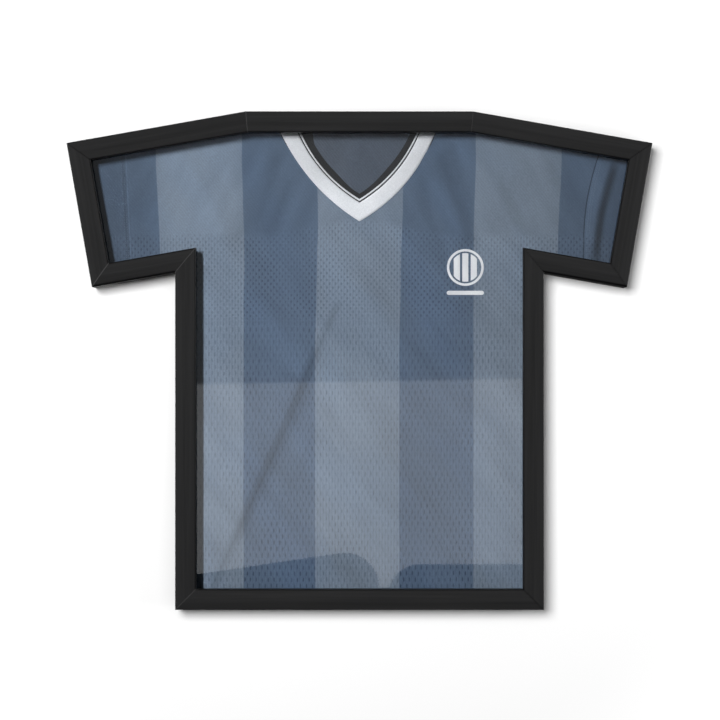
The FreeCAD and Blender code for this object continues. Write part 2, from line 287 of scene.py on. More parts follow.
for name, look in (("corner_v_nails", bright), ("turn_button_screws", bright), ("hanger_screws", bright),
                   ("keyhole_plate_left", plated), ("keyhole_plate_right", plated),
                   ("hanger_block_left", wood), ("hanger_block_right", wood),
                   ("back_panel", panel_board), ("insert_board", mount_board)):
    dress(NODES[name], look)


# ---------------------------------------------------------------- clear pane

def acrylic():
    """A thin clear sheet: it mirrors by Fresnel as light enters it and is clear otherwise."""
    g = Graph("clear_acrylic")
    g.tree.nodes.remove(g.shader)
    fresnel = g.add("Fresnel")
    fresnel.inputs["IOR"].default_value = 1.75  # the one face mirrors about as much as both faces of acrylic
    entering = g.math("SUBTRACT", 1.0, g.add("NewGeometry").outputs["Backfacing"])
    gloss = g.add("BsdfGlossy")
    haze = g.noise(g.place(), 25, 4)
    g.put(gloss.inputs["Roughness"], g.range(haze, 0.3, 0.7, 0.004, 0.02))
    clear = g.add("BsdfTransparent")
    clear.inputs["Color"].default_value = (0.985, 0.99, 0.992, 1)
    g.blend_surface(g.math("MULTIPLY", fresnel.outputs[0], entering), clear.outputs[0], gloss.outputs[0])
    return g.material


dress(NODES["clear_pane"], acrylic())


# ---------------------------------------------------------------- jersey cloth

def stripes(g, where, x, z):
    """1 on the light stripes and 0 on the dark ones, which lean and wander a little as worn cloth does."""
    high = g.range(z, -0.19, -0.03, 0, 1, "SMOOTHSTEP")
    chest = g.range(z, -0.32, -0.19, 0, 0.0023, "SMOOTHSTEP")
    chest = g.math("MAXIMUM", chest, g.range(x, 0.09, 0.13, 0, 0.0023))
    chest = g.math("MAXIMUM", chest, g.range(x, -0.13, -0.09, 0.0013, 0))
    middle = g.range(g.math("ABSOLUTE", x), 0.07, 0.11, 1, 0, "SMOOTHSTEP")
    tug = g.math("MULTIPLY", middle, g.range(z, -0.2, -0.12, 0, 0.0018, "SMOOTHSTEP"))
    wander = g.math("MULTIPLY", g.math("SUBTRACT", g.noise(where, 26, 2), 0.5), 0.0016)
    bent = g.math("DIVIDE", x, g.math("MULTIPLY_ADD", high, 0.022, 1.0))
    for drift in (chest, tug, wander):
        bent = g.math("SUBTRACT", bent, drift)
    offset = g.math("WRAP", g.math("SUBTRACT", bent, STRIPE_CENTRE), STRIPE_PITCH / 2, -STRIPE_PITCH / 2)
    return g.range(g.math("ABSOLUTE", offset), LIGHT_HALF - STRIPE_BLUR, LIGHT_HALF + STRIPE_BLUR, 1, 0)


def eyelet_holes(g, where, x, z, mesh):
    """1 inside each eyelet: two staggered lattices of ovals, with stray placing and patchy strength."""
    patches = g.range(g.noise(g.mapped(where, (1, 1, 0.6)), 24, 3), 0.36, 0.66, 0.55, 1.05)
    stray = g.noise(g.mapped(where, (1, 1, 0.7)), 70, 2)
    across = g.math("ADD", x, g.range(stray, 0.25, 0.75, -0.0007, 0.0007))
    down = g.math("ADD", z, g.range(g.noise(where, 45, 2), 0.25, 0.75, -0.0014, 0.0014))

    def from_centre(place, pitch, shift, half):
        """The square of the distance from the nearest hole's middle, in halves of the hole."""
        turn = g.math("FRACT", g.math("ADD", g.math("DIVIDE", place, pitch), shift))
        return g.math("POWER", g.math("MULTIPLY", g.math("SUBTRACT", turn, 0.5), pitch / half), 2.0)

    def lattice(pitch, half_width, half_height):
        rows = [g.range(g.math("ADD", from_centre(across, EYELET_X, shift, half_width),
                               from_centre(down, pitch, shift, half_height)), 0.45, 1.25, 1, 0, "SMOOTHSTEP")
                for shift in (0.0, 0.5)]
        return g.math("MAXIMUM", rows[0], rows[1])

    on_chest = g.range(z, -0.275, -0.262)
    holes = g.math("MULTIPLY", lattice(EYELET_Z, 0.00095, 0.0034), g.math("SUBTRACT", 1.0, on_chest))
    holes = g.math("ADD", holes, g.math("MULTIPLY", lattice(CHEST_EYELET_Z, 0.0012, 0.0020), on_chest))
    return g.product(holes, mesh, patches)


def knit_weave(g, x, z, mesh):
    """A wave about 0 for the knit's loops: upright wales in the mesh, a slanting twill on the plain yoke."""
    wale = g.math("SINE", g.math("MULTIPLY", x, 2 * math.pi / (EYELET_X / 2)))
    fine_wale = g.math("SINE", g.math("MULTIPLY", x, 2 * math.pi / LOOP))
    course = g.math("SINE", g.math("MULTIPLY", z, 2 * math.pi / LOOP))
    lean = g.math("ADD", x, g.math("MULTIPLY", z, 0.8))
    slant = g.math("SINE", g.math("MULTIPLY", lean, 2 * math.pi / TWILL))
    plain = g.math("SUBTRACT", 1.0, mesh)
    rib = g.math("ADD", g.math("MULTIPLY", wale, g.math("MULTIPLY", mesh, 0.5)),
                 g.math("MULTIPLY", slant, g.math("MULTIPLY", plain, 0.3)))
    return g.math("ADD", rib, g.math("MULTIPLY", g.math("MULTIPLY", fine_wale, course), 0.25))


def knit_unevenness(g, where, x, z, mesh, weave, fuzz):
    """The small changes of tone that the yarn and its weave give, with painted light and shade in streaks
    along soft creases.
    """
    cloud = g.noise(g.mapped(where, (1, 1, 0.45)), 9, 3)
    # painted light and shade in long streaks along soft creases: on the yoke they fan outwards from the
    # collar on both sides, on the mesh below they lean one way
    fan = g.add("CombineXYZ")
    g.put(fan.inputs[0], g.math("ABSOLUTE", x))
    g.put(fan.inputs[1], g.range(x, -0.0001, 0.0001, 0, 3))
    g.put(fan.inputs[2], z)
    crease_painted_shading = g.mix(mesh, g.noise(g.mapped(fan.outputs[0], (1, 1, 0.2), (0, 0.5, 0)), 34, 2),
                   g.noise(g.mapped(where, (1, 1, 0.2), (0, 0.7, 0)), 34, 2))
    grain = g.noise(where, 420, 2)
    return g.product(g.range(cloud, 0.25, 0.75, 0.93, 1.07),
                     g.range(crease_painted_shading, 0.3, 0.7, 0.9, 1.1),
                     g.range(grain, 0.3, 0.7, 0.925, 1.075),
                     g.range(weave, -0.8, 0.8, 0.9, 1.1),
                     g.range(fuzz, 0.2, 0.8, 0.95, 1.05))


def knit_regions(g, x, z, mesh, shade):
    """The shade toned by place: painted light on the mesh and the left shoulder, darker towards both sleeves
    with painted shade at the left sleeve's end, a painted highlight and painted shade along the sleeve seams
    with the doubled hems darker partly as painted shade, and painted shade along two deep folds.
    """
    # painted light: the plain yoke made lighter towards the left shoulder
    painted_shoulder_light = g.math("MULTIPLY", g.math("SUBTRACT", 1.0, mesh),
                    g.range(x, -0.155, -0.18, 0, 0.13, "SMOOTHSTEP"))
    # painted light: the mesh made lighter; darker towards both sleeves, and painted shade at the left
    # sleeve's end
    shade = g.product(shade, g.range(mesh, 0, 1, 1.0, 1.12),
                      g.range(g.math("ABSOLUTE", x), 0.235, 0.29, 1, 0.88, "SMOOTHSTEP"),
                      g.math("ADD", painted_shoulder_light, 1.0),
                      g.range(x, -0.3, -0.265, 0.84, 1, "SMOOTHSTEP"))

    left_seam = g.math("SUBTRACT", -0.31975, g.math("MULTIPLY", z, 0.05))
    rise = g.range(z, -0.16, -0.03, 0, 1.167)
    right_seam = g.math("MULTIPLY_ADD", g.math("MULTIPLY", rise, rise), 0.0187, 0.3046)
    past_left, past_right = g.math("SUBTRACT", left_seam, x), g.math("SUBTRACT", x, right_seam)
    beside = g.math("ABSOLUTE", g.math("SUBTRACT", past_left, 0.0045))
    # painted highlight on the left seam and painted shade just past it; the hems past both seams darker,
    # partly painted shade; painted shade in the right seam's groove
    shade = g.product(shade, g.range(past_left, -0.001, 0.018, 1, 0.84),
                      g.range(g.math("ABSOLUTE", past_left), 0.0003, 0.0011, 1.3, 1),
                      g.range(beside, 0, 0.004, 0.86, 1, "SMOOTHSTEP"),
                      g.range(past_right, 0.004, 0.022, 1.04, 0.86),
                      g.range(g.math("ABSOLUTE", past_right), 0.0004, 0.0011, 0.35, 1))

    # painted shade along the long slack fold and along the one beside the right cuff
    slack = g.math("ABSOLUTE", g.math("MULTIPLY_ADD", z, -0.44, g.math("SUBTRACT", x, 0.0785)))
    slack = g.math("MAXIMUM", g.range(slack, 0.001, 0.0095, 0.84, 1, "SMOOTHSTEP"), g.range(z, -0.29, -0.24))
    cuff = g.math("ABSOLUTE", g.math("SUBTRACT", past_right, g.range(z, -0.17, -0.05, 0.0175, 0.0255)))
    return g.product(shade, slack, g.range(cuff, 0.001, 0.0085, 0.72, 1, "SMOOTHSTEP"))


def knit(name, striped=True, eyelets=True):
    """The jersey's knit: tonal stripes, a plain woven yoke, and eyelet mesh under it."""
    g = Graph(name)
    where = g.place()
    x, _, z = g.split(where)
    stripe = stripes(g, where, x, z)
    dark, light = (0.082, 0.117, 0.175), (0.158, 0.197, 0.252)
    colour = g.mix(stripe, dark, light) if striped else g.mix(1.0, dark, (0.074, 0.088, 0.114))

    # the mesh starts along a line that dips towards the sides
    start = g.range(g.math("ABSOLUTE", x), 0.0, 0.14, -0.13, -0.151, "SMOOTHSTEP")
    mesh = g.range(g.math("SUBTRACT", start, z), -0.003, 0.006)
    holes = eyelet_holes(g, where, x, z, mesh)
    weave = knit_weave(g, x, z, mesh)
    fuzz = g.noise(where, 1400, 2)
    shade = knit_regions(g, x, z, mesh, knit_unevenness(g, where, x, z, mesh, weave, fuzz))
    colour = g.tint(colour, shade)
    bluer = g.range(g.noise(g.mapped(where, (1, 1, 0.4), (0, 0.5, 0)), 15, 2), 0.38, 0.62, 0, 1, "SMOOTHSTEP")
    colour = g.mix(bluer, colour, g.mix(1.0, colour, (0.965, 0.99, 1.02), "MULTIPLY"))
    if eyelets:
        in_dark, in_light = g.range(z, -0.36, -0.33, 0.62, 0.45), g.range(z, -0.36, -0.33, 0.3, 0.35)
        in_dark = g.math("MULTIPLY", in_dark, g.range(z, -0.62, -0.58, 1.15, 1))
        open_share = g.math("ADD", g.math("MULTIPLY", in_light, stripe),
                            g.math("MULTIPLY", in_dark, g.math("SUBTRACT", 1.0, stripe)))
        colour = g.mix(g.math("MULTIPLY", holes, open_share), colour, (0.014, 0.021, 0.04))
    g.set(Base_Color=colour, Roughness=g.range(fuzz, 0.2, 0.8, 0.78, 0.92), Specular_IOR_Level=0.25,
          Sheen_Weight=0.18, Sheen_Roughness=0.5)
    height = g.math("SUBTRACT", g.math("MULTIPLY", weave, 0.4), holes) if eyelets else weave
    g.bump(height, 0.0004, 0.7)
    return g.material


def nearest_share(a, b, p):
    """How far along from a to b the point nearest p lies, from 0 to 1."""
    d = b - a
    return min(max((p - a).dot(d) / d.length_squared, 0), 1)


def crease(x, z, points, width, rise, skew=0.0):
    """A soft fold along a line of (x, z) points, fading at both ends and wider on one side by skew."""
    here = Vector((x, z))
    legs = [(Vector(a), Vector(b)) for a, b in zip(points, points[1:])]
    total = sum((b - a).length for a, b in legs)
    best, share, side, run = 1e9, 0.0, 0.0, 0.0
    for a, b in legs:
        d = b - a
        t = nearest_share(a, b, here)
        away = here - (a + d * t)
        if away.length < best:
            best = away.length
            share = (run + d.length * t) / total
            side = math.copysign(1, d.x * away.y - d.y * away.x)
        run += d.length
    fade = smooth(0, 0.12, share) * smooth(0, 0.15, 1 - share) if points[0] != points[-1] else 1
    s = best / (width * (1 + skew) if side < 0 else width)
    return rise * math.exp(-s * s) * fade


FOLDS = [
    # the long slack fold down the left of the body, steep on its right, and its lighter companion
    ([(-0.06, -0.29), (-0.078, -0.335), (-0.111, -0.42), (-0.138, -0.475), (-0.186, -0.59)],
     0.013, 0.0046, 1.6),
    ([(-0.04, -0.36), (-0.08, -0.45), (-0.14, -0.57)], 0.013, 0.0008, 0.0),
    # drapes from the collar towards the chest on the right
    ([(0.098, -0.03), (0.118, -0.09), (0.146, -0.17)], 0.010, 0.0028, 0.6),
    ([(0.125, -0.02), (0.15, -0.1), (0.165, -0.19)], 0.011, -0.0021, 0.0),
    ([(0.085, -0.07), (0.1, -0.12), (0.13, -0.2)], 0.008, -0.0019, 0.4),
    # and on the left
    ([(-0.118, -0.032), (-0.13, -0.075), (-0.148, -0.15)], 0.011, 0.0024, 0.4),
    ([(-0.088, -0.068), (-0.1, -0.11), (-0.115, -0.165)], 0.01, -0.0015, 0.0),
    # pulls across the sleeves
    ([(-0.235, -0.045), (-0.205, -0.1), (-0.17, -0.17)], 0.008, 0.0012, 0.3),
    ([(-0.205, -0.035), (-0.18, -0.09), (-0.15, -0.17)], 0.009, -0.001, 0.0),
    ([(-0.29, -0.06), (-0.285, -0.12), (-0.262, -0.18)], 0.011, 0.001, 0.0),
    ([(0.2, -0.05), (0.222, -0.1), (0.232, -0.17)], 0.014, 0.0011, 0.2),
    ([(0.262, -0.05), (0.28, -0.12), (0.275, -0.19)], 0.012, -0.0013, 0.3),
    # the deep fold beside the right cuff
    ([(0.346, -0.03), (0.343, -0.05), (0.335, -0.08), (0.323, -0.12), (0.3155, -0.172), (0.313, -0.215)],
     0.0105, 0.0052, 0.0),
    ([(0.359, -0.03), (0.356, -0.05), (0.348, -0.08), (0.336, -0.12), (0.3285, -0.172), (0.326, -0.215)],
     0.0075, -0.0028, 0.0),
    ([(0.371, -0.03), (0.368, -0.05), (0.36, -0.08), (0.348, -0.12), (0.3405, -0.172), (0.338, -0.215)],
     0.009, 0.0026, 0.0),
    # slack at the hem
    ([(-0.05, -0.5), (-0.042, -0.57), (-0.06, -0.64)], 0.018, 0.0012, 0.0),
    ([(0.13, -0.42), (0.118, -0.52), (0.14, -0.62)], 0.02, -0.0011, 0.0),
    ([(0.03, -0.25), (0.018, -0.34), (0.03, -0.45)], 0.022, 0.001, 0.0),
]
LEFT_SEAM = [(-0.318, -0.035), (-0.3145, -0.1), (-0.3095, -0.19), (-0.309, -0.215)]
RIGHT_SEAM = [(0.3281, -0.035), (0.3233, -0.0486), (0.3138, -0.0806), (0.3077, -0.118), (0.3048, -0.15),
              (0.3046, -0.215)]


def seam_x(points, z):
    """Where a seam crosses height z."""
    for (x0, z0), (x1, z1) in zip(points, points[1:]):
        if z >= z1:
            return x0 + (x1 - x0) * (z - z0) / (z1 - z0)
    return points[-1][0]


def to_border(x, z):
    """Distance from (x, z) to the nearest edge of the outline, within the outline."""
    here = Vector((x, z))
    best = 1.0
    for a, b in zip(CORNERS, CORNERS[1:] + CORNERS[:1]):
        best = min(best, (here - a - (b - a) * nearest_share(a, b, here)).length)
    return best


def relief(x, z):
    """How far the front cloth stands out from its border, in metres."""
    room = smooth(0.024, 0.055, to_border(x, z))
    out = 0.0012 * room
    out += 0.0009 * room * noise.noise(Vector((x * 14, z * 7, 1.3)))
    out += 0.0004 * room * noise.noise(Vector((x * 45, z * 22, 4.1)))
    for points, width, rise, skew in FOLDS:
        out += room * crease(x, z, points, width, rise, skew)
    # each sleeve hem is doubled from its seam outwards, with a groove along the seam
    for seam, sense in ((LEFT_SEAM, -1), (RIGHT_SEAM, 1)):
        past = sense * (x - seam_x(seam, z))
        if abs(x) > 0.28:
            out += 0.0005 * smooth(-0.0005, 0.0025, past)
            out -= 0.0010 * math.exp(-(past / 0.0012) ** 2)
    return out


def steps(a, b, n):
    return [a + (b - a) * k / n for k in range(n + 1)]


def quads(bm, rows):
    """Faces between rows of vertices, all rows with as many."""
    for low, high in zip(rows, rows[1:]):
        for k in range(len(low) - 1):
            bm.faces.new((low[k], low[k + 1], high[k + 1], high[k]))


def patch(bm, points, cache):
    """A grid of quads through rows of (x, z) points, sharing vertices with earlier patches."""
    rows = []
    for row in points:
        line = []
        for x, z in row:
            key = (round(x, 5), round(z, 5))
            if key not in cache:
                cache[key] = bm.verts.new((x, 0, z))
            line.append(cache[key])
        rows.append(line)
    quads(bm, rows)


def neck_curve(t, end_left, end_right, apex, sag_left, sag_right):
    """The V at t from 0, its left end at the neck rail, to 1, its right end; both sides bow outwards."""
    top = TOP - 0.024
    left = t < 0.5
    s = t * 2 if left else 2 - t * 2
    end = Vector((-end_left if left else end_right, top))
    tip = Vector((0.0, apex))
    p = end.lerp(tip, s)
    d = (tip - end).normalized()
    away = Vector((d.y, -d.x)) if left else Vector((-d.y, d.x))
    return p + away * ((sag_left if left else sag_right) * 4 * s * (1 - s))


def outer_v(t):
    return neck_curve(t, 0.1080, 0.1035, -0.1335, 0.0121, 0.0147)


def inner_v(t):
    return neck_curve(t, 0.0799, 0.0783, -0.1021, 0.0098, 0.0098)


def across_v(t, w):
    """A point at share w from the V's outer line to its inner one; w runs on past 1 inwards."""
    return outer_v(t).lerp(inner_v(t), w)


def inside_v(x, z, w):
    """True if (x, z) lies inside the V at share w."""
    loop = [across_v(k / 60, w) for k in range(61)]
    crossings = 0
    for a, b in zip(loop, loop[1:] + loop[:1]):
        if (a.y > z) != (b.y > z) and x < a.x + (b.x - a.x) * (z - a.y) / (b.y - a.y):
            crossings += 1
    return crossings % 2 == 1


def finish_mesh(bm, name, material, shade_smooth=True):
    mesh = bpy.data.meshes.new(name)
    bm.normal_update()
    bm.to_mesh(mesh)
    bm.free()
    obj = bpy.data.objects.new(name, mesh)
    bpy.context.scene.collection.objects.link(obj)
    for p in mesh.polygons:
        p.use_smooth = shade_smooth
    dress(obj, material)
    return obj


def jersey_cloth():
    """The front layer, wrapped round the board's edges, with its flaps folded over the back."""
    neck, tip, cuff, armpit, hem = [inset(k, CLOTH_INSET) for k in range(1, 6)]
    step = 0.0036
    bm, cache = bmesh.new(), {}
    # columns that meet the shoulder line's corner, mirrored about the middle
    inner = steps(0, neck.x, round(neck.x / step))
    rest = steps(neck.x, armpit.x, round((armpit.x - neck.x) / step))[1:]
    half = inner + rest
    columns = [-x for x in reversed(half[1:])] + half

    def top(x):
        across = max(0.0, (abs(x) - neck.x) / (tip.x - neck.x))
        return neck.y + (tip.y - neck.y) * across

    rows = steps(hem.y, armpit.y, round((armpit.y - hem.y) / step))
    patch(bm, [[(x, z) for x in columns] for z in rows], cache)
    up = steps(0, 1, round((neck.y - armpit.y) / step))
    patch(bm, [[(x, armpit.y + (top(x) - armpit.y) * t) for x in columns] for t in up], cache)
    out = steps(0, 1, round((tip.x - armpit.x) / step))
    for sign in (1, -1):
        grid = []
        for t in up:
            near = Vector((armpit.x, armpit.y + (top(armpit.x) - armpit.y) * t))
            far = cuff.lerp(tip, t)
            line = [(sign * near.lerp(far, s).x, near.lerp(far, s).y) for s in out]
            grid.append(line if sign > 0 else line[::-1])
        patch(bm, grid, cache)

    opening = [f for f in bm.faces if inside_v(f.calc_center_median().x, f.calc_center_median().z, 0.55)]
    border = {v for e in bm.edges if len(e.link_faces) == 1 for v in e.verts}
    bmesh.ops.delete(bm, geom=opening, context="FACES")

    # rings of (inset, y) that carry the border round the board's edge and onto its back
    rings = [(0.0207, -0.0129), (0.0206, -0.0118), (0.0206, -0.0086), (0.0208, -0.0077), (0.0214, -0.0073),
             (0.03, -0.0073), (0.042, -0.0074), (0.054, -0.0073), (0.0652, -0.0074)]
    edges = [e for e in bm.edges if len(e.link_faces) == 1 and all(v in border for v in e.verts)]
    where = {}
    for v in border:
        if not v.is_valid:
            continue
        p = Vector((v.co.x, v.co.z))
        for i in range(10):
            a, b = inset(i, CLOTH_INSET), inset(i + 1, CLOTH_INSET)
            d = b - a
            t = (p - a).dot(d) / d.length_squared
            if -1e-6 <= t <= 1 + 1e-6 and (p - a - d * t).length < 1e-5:
                where[v] = (i, t)
                break
    made = {}

    def ring_vertex(v, k):
        if (v, k) not in made:
            i, t = where[v]
            depth, y = rings[k]
            p = inset(i, depth).lerp(inset(i + 1, depth), t)
            made[v, k] = bm.verts.new((p.x, y, p.y))
        return made[v, k]

    for v in list(bm.verts):
        v.co.y = CLOTH_Y - relief(v.co.x, v.co.z)
    for e in edges:
        a, b = e.verts
        if a not in where or b not in where:
            continue
        face = e.link_faces[0]
        order = list(face.verts)
        if order[(order.index(a) + 1) % len(order)] is not b:
            a, b = b, a
        last = (a, b)
        for k in range(len(rings)):
            new = (ring_vertex(a, k), ring_vertex(b, k))
            bm.faces.new((last[1], last[0], new[0], new[1]))
            last = new
    obj = finish_mesh(bm, "jersey_cloth", knit("jersey_knit"))
    thick = obj.modifiers.new("cloth", "SOLIDIFY")
    thick.thickness = 0.0005
    thick.offset = -1
    return obj


def band(name, profile, material, samples=150, spread=None):
    """A strip round the V. profile is a list of (share across, y) points; spread scales shares past 1."""
    bm = bmesh.new()
    rows = []
    for k in range(samples + 1):
        t = k / samples
        line = []
        for w, y in profile:
            p = across_v(t, 1 + (w - 1) * spread(t) if spread and w > 1 else w)
            under = smooth(TOP - 0.0262, TOP - 0.0285, p.y)  # pressed flat where it passes behind the spacer
            line.append(bm.verts.new((p.x, PRESSED_Y + (y - PRESSED_Y) * under, p.y)))
        rows.append(line)
    quads(bm, rows)
    return finish_mesh(bm, name, material)


def stitches(name, lines, pitch, length, radius, material):
    """Short capsules along lines of points, each a stitch that lies on the cloth."""
    bm = bmesh.new()
    for line in lines:
        run = 0.0
        for a, b in zip(line, line[1:]):
            d = b - a
            while run < d.length:
                centre = a + d.normalized() * run
                turn = d.to_track_quat("X", "Z").to_matrix().to_4x4()
                turn.translation = centre
                made = bmesh.ops.create_uvsphere(bm, u_segments=8, v_segments=5, radius=1)
                for v in made["verts"]:
                    v.co = turn @ Vector((v.co.x * length / 2, v.co.y * radius, v.co.z * radius))
                run += pitch
            run -= d.length
    return finish_mesh(bm, name, material)


def fabric(name, dark, light, scale, bump, ribs=0.0, tip=1.0):
    """A plain knitted trim with fine fibre and optional ribs across it; tip brightens it at the V's point as
    painted light.
    """
    g = Graph(name)
    where = g.place()
    fibre = g.noise(where, scale, 4, 0.65)
    broad = g.noise(where, 40, 2)
    height = fibre
    if ribs:
        x, _, z = g.split(where)
        line = g.math("SINE", g.math("MULTIPLY", g.math("ADD", x, z), 2 * math.pi / ribs))
        height = g.math("ADD", fibre, g.math("MULTIPLY", line, 0.3))
    blend = g.math("ADD", g.math("MULTIPLY", fibre, 0.65), g.math("MULTIPLY", broad, 0.35))
    colour = g.mix(g.range(blend, 0.3, 0.7), dark, light)
    # painted light: lighter towards the V's point
    if tip != 1:
        colour = g.tint(colour, g.range(g.split(where)[2], -0.125, -0.055, tip, 1, "SMOOTHSTEP"))
    g.set(Base_Color=colour,
          Roughness=g.range(fibre, 0.3, 0.7, 0.8, 0.92), Specular_IOR_Level=0.25,
          Sheen_Weight=0.15, Sheen_Roughness=0.5)
    g.bump(height, bump, 0.8)
    return g.material


cloth = jersey_cloth()
# the collar carries painted light, lighter towards the V's point
collar_white = fabric("collar_knit", (0.59, 0.6, 0.63), (0.76, 0.77, 0.8), 520, 0.00025, tip=1.22)
piping_dark = fabric("piping_dark", (0.012, 0.013, 0.016), (0.03, 0.032, 0.038), 900, 0.0002)
# partly painted shade: the charcoal tape inside the V also stands in for the shade that the collar casts
# there
tape_and_shade_dark = fabric("neck_tape_and_shade", (0.014, 0.014, 0.015), (0.034, 0.034, 0.036), 700, 0.0003, 0.0016)


def tape_and_shade_spread(t):
    """The tape, with the painted shade it carries, is widest at its left end and narrowest at the V's point.
    """
    left = 0.4 * smooth(0.02, 0.2, 0.5 - t) + 0.5 * smooth(0.1, 0, t)
    return 0.55 + left + 0.28 * smooth(0.02, 0.25, t - 0.5)


collar = band("collar_band", [(-0.01, -0.0141), (0.0, -0.0150), (0.03, -0.0155), (0.15, -0.0158),
                              (0.45, -0.0160), (0.7, -0.0157), (0.795, -0.0154), (0.82, -0.0147)],
              collar_white)
# a thin dark strip along the collar's outer edge, where it meets the cloth
collar_edge_dark_strip = band("collar_edge_dark_strip", [(-0.045, -0.0139), (-0.035, -0.0143), (-0.008, -0.0143)], piping_dark)
groove = band("collar_groove", [(0.8, -0.0145), (0.825, -0.0152), (0.87, -0.0152), (0.895, -0.0145)],
              piping_dark)
piping = band("collar_piping", [(0.872, -0.0147), (0.89, -0.0154), (0.92, -0.0157), (0.95, -0.0154),
                                (0.972, -0.0146)], collar_white)
# the charcoal tape inside the V, partly painted shade from the collar
tape_and_shade = band("neck_tape_and_shade", [(0.5, -0.0133), (0.9, -0.0136), (0.985, -0.0138), (1.04, -0.0135), (1.2, -0.0129),
                          (1.38, -0.0124)], tape_and_shade_dark, spread=tape_and_shade_spread)


def back_layer():
    """The shirt's back, seen through the neck opening."""
    edge = [across_v(k / 80, 1.36) for k in range(81)]
    bm = bmesh.new()
    rows = []
    for z in steps(-0.15, TOP - 0.0215, 60):
        line = []
        for x in steps(-0.112, 0.112, 80):
            drape = 0.0005 * abs(noise.noise(Vector((x * 30, z * 18, 9.0))))
            drape += 0.0006 * math.exp(-((x * 0.7 + z + 0.05) / 0.006) ** 2)
            drape += 0.0005 * math.exp(-((x * 1.1 - z - 0.03) / 0.005) ** 2)
            if inside_v(x, z, 1.36):
                drape *= smooth(0.001, 0.012, min((Vector((x, z)) - p).length for p in edge))
            else:
                drape = 0.0
            line.append(bm.verts.new((x, -0.01222 - drape, z)))
        rows.append(line)
    quads(bm, rows)
    return finish_mesh(bm, "jersey_back_layer", knit("jersey_back_knit", striped=False, eyelets=False))


back = back_layer()


def on_cloth(p, lift):
    return Vector((p[0], CLOTH_Y - relief(p[0], p[1]) - lift, p[1]))


thread = fabric("thread", (0.1, 0.14, 0.2), (0.17, 0.22, 0.3), 1500, 0.0001)
seams = []
for seam, sense in ((LEFT_SEAM, -1), (RIGHT_SEAM, 1)):
    for gap in (0.0035, 0.0065):
        line = [(seam_x(seam, z) + sense * gap, z) for z in steps(-0.058, -0.2, 70)]
        seams.append([on_cloth(p, 0.0001) for p in line])
seam_thread = stitches("seam_stitches", seams, 0.0032, 0.0024, 0.00022, thread)
collar_line = [outer_v(k / 200) for k in range(201)]
collar_line = [on_cloth(p + (p - Vector((0, -0.04))).normalized() * 0.0016, 0.0001) for p in collar_line
               if p.y < TOP - 0.03]
collar_thread = stitches("collar_stitches", [collar_line], 0.0032, 0.0022, 0.0002, thread)


def badge():
    """A plain roundel: a ring round three upright bars, and a plain bar under it."""
    g = Graph("badge_film")
    where = g.place()
    fine = g.noise(where, 1800, 3)
    broad = g.noise(where, 30, 2)
    g.set(Base_Color=g.mix(g.range(broad, 0.3, 0.7), (0.74, 0.75, 0.78), (0.88, 0.89, 0.91)),
          Roughness=g.range(fine, 0.3, 0.7, 0.32, 0.48))
    g.bump(fine, 0.00004)
    centre = Vector((0.1437, -0.196))
    bm = bmesh.new()
    low, high = 0.0, 0.00035

    def plate(loop, hole=None):
        """A thin plate with the outline of loop, or a ring when hole has as many points."""
        tops = [bm.verts.new((p.x, -high, p.y)) for p in loop]
        base = [bm.verts.new((p.x, low, p.y)) for p in loop]
        n = len(loop)
        for k in range(n):
            bm.faces.new((tops[k], tops[(k + 1) % n], base[(k + 1) % n], base[k]))
        if hole is None:
            bm.faces.new(tops)
            return
        inner_top = [bm.verts.new((p.x, -high, p.y)) for p in hole]
        inner_base = [bm.verts.new((p.x, low, p.y)) for p in hole]
        for k in range(n):
            j = (k + 1) % n
            bm.faces.new((tops[k], inner_top[k], inner_top[j], tops[j]))
            bm.faces.new((inner_top[k], inner_base[k], inner_base[j], inner_top[j]))

    def ring(r, n=72):
        return [centre + Vector((math.cos(a), math.sin(a))) * r for a in steps(0, 2 * math.pi, n)[:-1]]

    plate(ring(0.025), ring(0.0217))
    for middle, half in ((-0.0115, 0.0042), (0.0, 0.0042), (0.0115, 0.0042)):
        r = 0.0195
        right_side = [middle + half * k / 4 for k in range(-4, 5)]
        up = [centre + Vector((dx, math.sqrt(r * r - dx * dx))) for dx in right_side]
        down = [centre + Vector((dx, -math.sqrt(r * r - dx * dx))) for dx in reversed(right_side)]
        plate(up + down)
    bar = centre + Vector((0, -0.0345))
    ends = []
    for sign in (1, -1):
        ends += [bar + Vector((sign * 0.0225 + 0.0028 * math.sin(a) * sign, 0.0028 * math.cos(a) * sign))
                 for a in steps(0, math.pi, 12)]
    plate(ends)
    bmesh.ops.recalc_face_normals(bm, faces=bm.faces)
    for v in bm.verts:
        v.co.y += CLOTH_Y - relief(v.co.x, v.co.z) - 0.0002
    return finish_mesh(bm, "chest_roundel", g.material, False)


roundel = badge()

for piece in (cloth, collar, collar_edge_dark_strip, groove, piping, tape_and_shade, back, seam_thread, collar_thread, roundel):
    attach(piece, "insert")
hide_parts("jersey")
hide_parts("jersey_collar")
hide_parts("chest_badge")


# ---------------------------------------------------------------- stage and light

def group(name, members, state):
    """Objects that a light is made to reach, or to pass by."""
    made = bpy.data.collections.new(name)
    for member in members:
        made.objects.link(member)
    for entry in made.collection_objects:
        entry.light_linking.link_state = state
    return made


pane_only = group("pane_only", [NODES["clear_pane"]], "INCLUDE")


def stage_face(name, corners, material, hidden_from):
    """One flat face of the stage, unseen by the kinds of ray named in hidden_from."""
    mesh = bpy.data.meshes.new(name)
    mesh.from_pydata(corners, [], [list(range(len(corners)))])
    obj = bpy.data.objects.new(name, mesh)
    bpy.context.scene.collection.objects.link(obj)
    dress(obj, material)
    for kind in hidden_from:
        setattr(obj, "visible_" + kind, False)
    return obj


